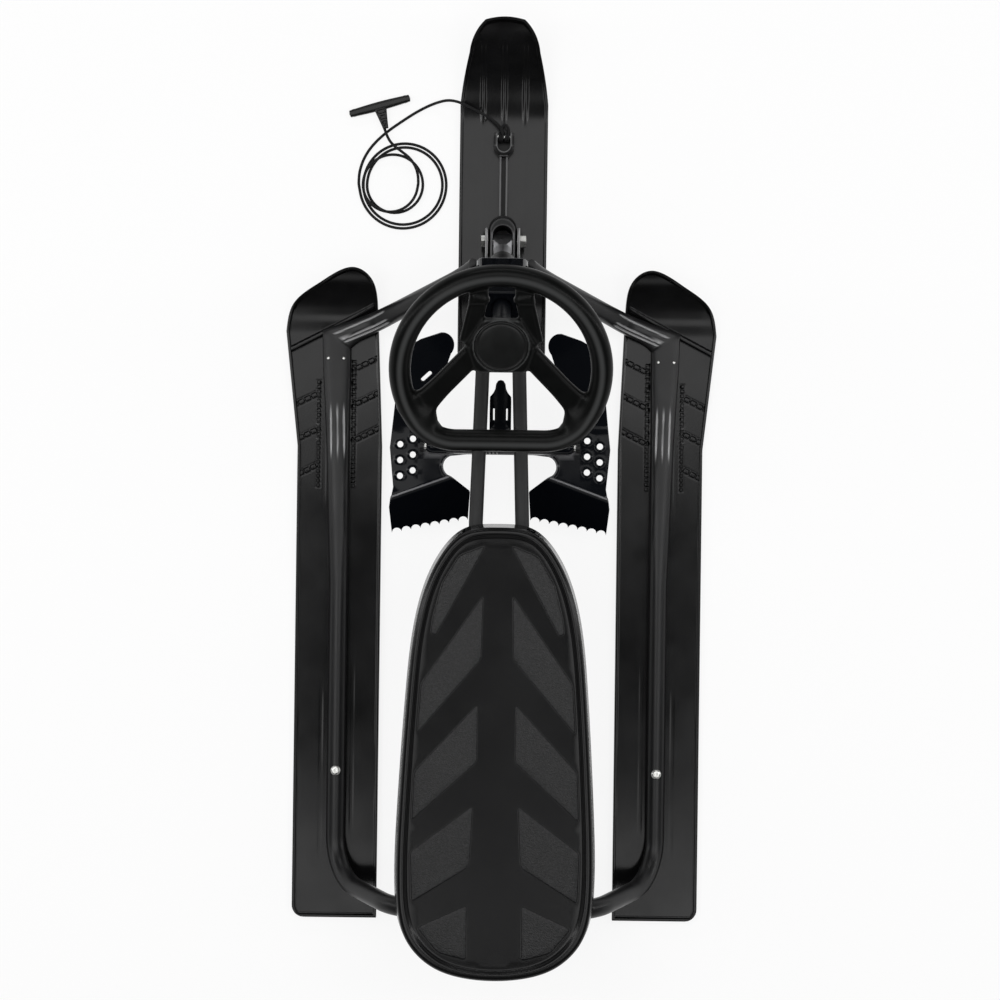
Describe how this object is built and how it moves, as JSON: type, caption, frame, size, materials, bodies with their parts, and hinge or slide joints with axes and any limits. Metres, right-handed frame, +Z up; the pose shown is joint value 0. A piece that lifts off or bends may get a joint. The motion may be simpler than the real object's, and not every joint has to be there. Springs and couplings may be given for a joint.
{
  "type": "snow sled with steering wheel",
  "caption": "Snow sled with a steering wheel, one turning front ski, fixed rear skis, tube frame, long moulded seat, foot brake plate and a coiled tow cord.",
  "frame": {"origin": "on the ground, below the middle of the sled's overall box", "axes": "+Y forward towards the front ski's tip, +X to the rider's right, +Z up"},
  "size_m": [0.5108, 1.1, 0.3769],
  "materials": {
    "ski_plastic": "black moulded polyethylene, satin sheen, fine scuffs",
    "frame_paint": "gloss black powder coat on steel tube",
    "rail_paint": "satin dark grey paint on steel tube",
    "brake_paint": "gloss blue-black coat on pressed steel sheet",
    "seat_plastic": "grained dark grey moulded plastic",
    "wheel_plastic": "soft satin black moulded plastic",
    "cap_plastic": "satin dark grey plastic, plain face",
    "mount_plastic": "black nylon, light gloss",
    "bush_plastic": "black bearing plastic",
    "zinc_steel": "bright zinc-plated steel",
    "column_steel": "black painted steel tube",
    "spring_steel": "dark oiled spring wire",
    "cord_braid": "black braided cord",
    "handle_plastic": "black moulded plastic, light gloss"
  },
  "bodies": {
    "frame": {"right_ski": "ski_plastic", "left_ski": "ski_plastic", "right_frame_tube": "frame_paint", "left_frame_tube": "frame_paint", "ski_bolts": "zinc_steel", "ski_nuts": "zinc_steel", "ski_rivets": "zinc_steel", "head_tube": "frame_paint", "head_bushes": "bush_plastic", "head_bracket": "frame_paint", "right_seat_rail": "rail_paint", "left_seat_rail": "rail_paint", "seat": "seat_plastic", "seat_screws": "zinc_steel", "brake_axle": "zinc_steel", "axle_caps": "frame_paint", "brake_lugs": "rail_paint"},
    "steering": {"steering_column": "column_steel", "column_collars": "bush_plastic", "steering_wheel": "wheel_plastic", "wheel_nut": "zinc_steel", "hub_cap": "cap_plastic"},
    "front_ski": {"front_ski": "ski_plastic", "ski_mount": "mount_plastic", "pivot_cheeks": "frame_paint", "pivot_bolt": "zinc_steel", "pivot_nut": "zinc_steel", "mount_screws": "zinc_steel", "ski_strut": "mount_plastic", "cord_anchor": "mount_plastic", "anchor_pin": "zinc_steel", "tow_cord_lead": "cord_braid", "tow_cord_coil": "cord_braid", "tow_cord_tail": "cord_braid", "tow_handle": "handle_plastic"},
    "brake": {"brake_plate": "brake_paint", "brake_spring": "spring_steel"}
  },
  "joints": [
    {"name": "steering_turn", "type": "hinge", "parent": "frame", "child": "steering", "pos_m": [0, 0.293, 0.045], "axis": [0, -0.4384, 0.8988], "range_deg": [-30, 30]},
    {"name": "ski_pitch", "type": "hinge", "parent": "steering", "child": "front_ski", "pos_m": [0, 0.293, 0.045], "axis": [1, 0, 0], "range_deg": [-6, 6]},
    {"name": "brake_tip", "type": "hinge", "parent": "frame", "child": "brake", "pos_m": [0, 0.051, 0.106], "axis": [1, 0, 0], "range_deg": [0, 25], "stiffness_Nm_per_rad": 2, "springref_deg": -17.19}
  ]
}
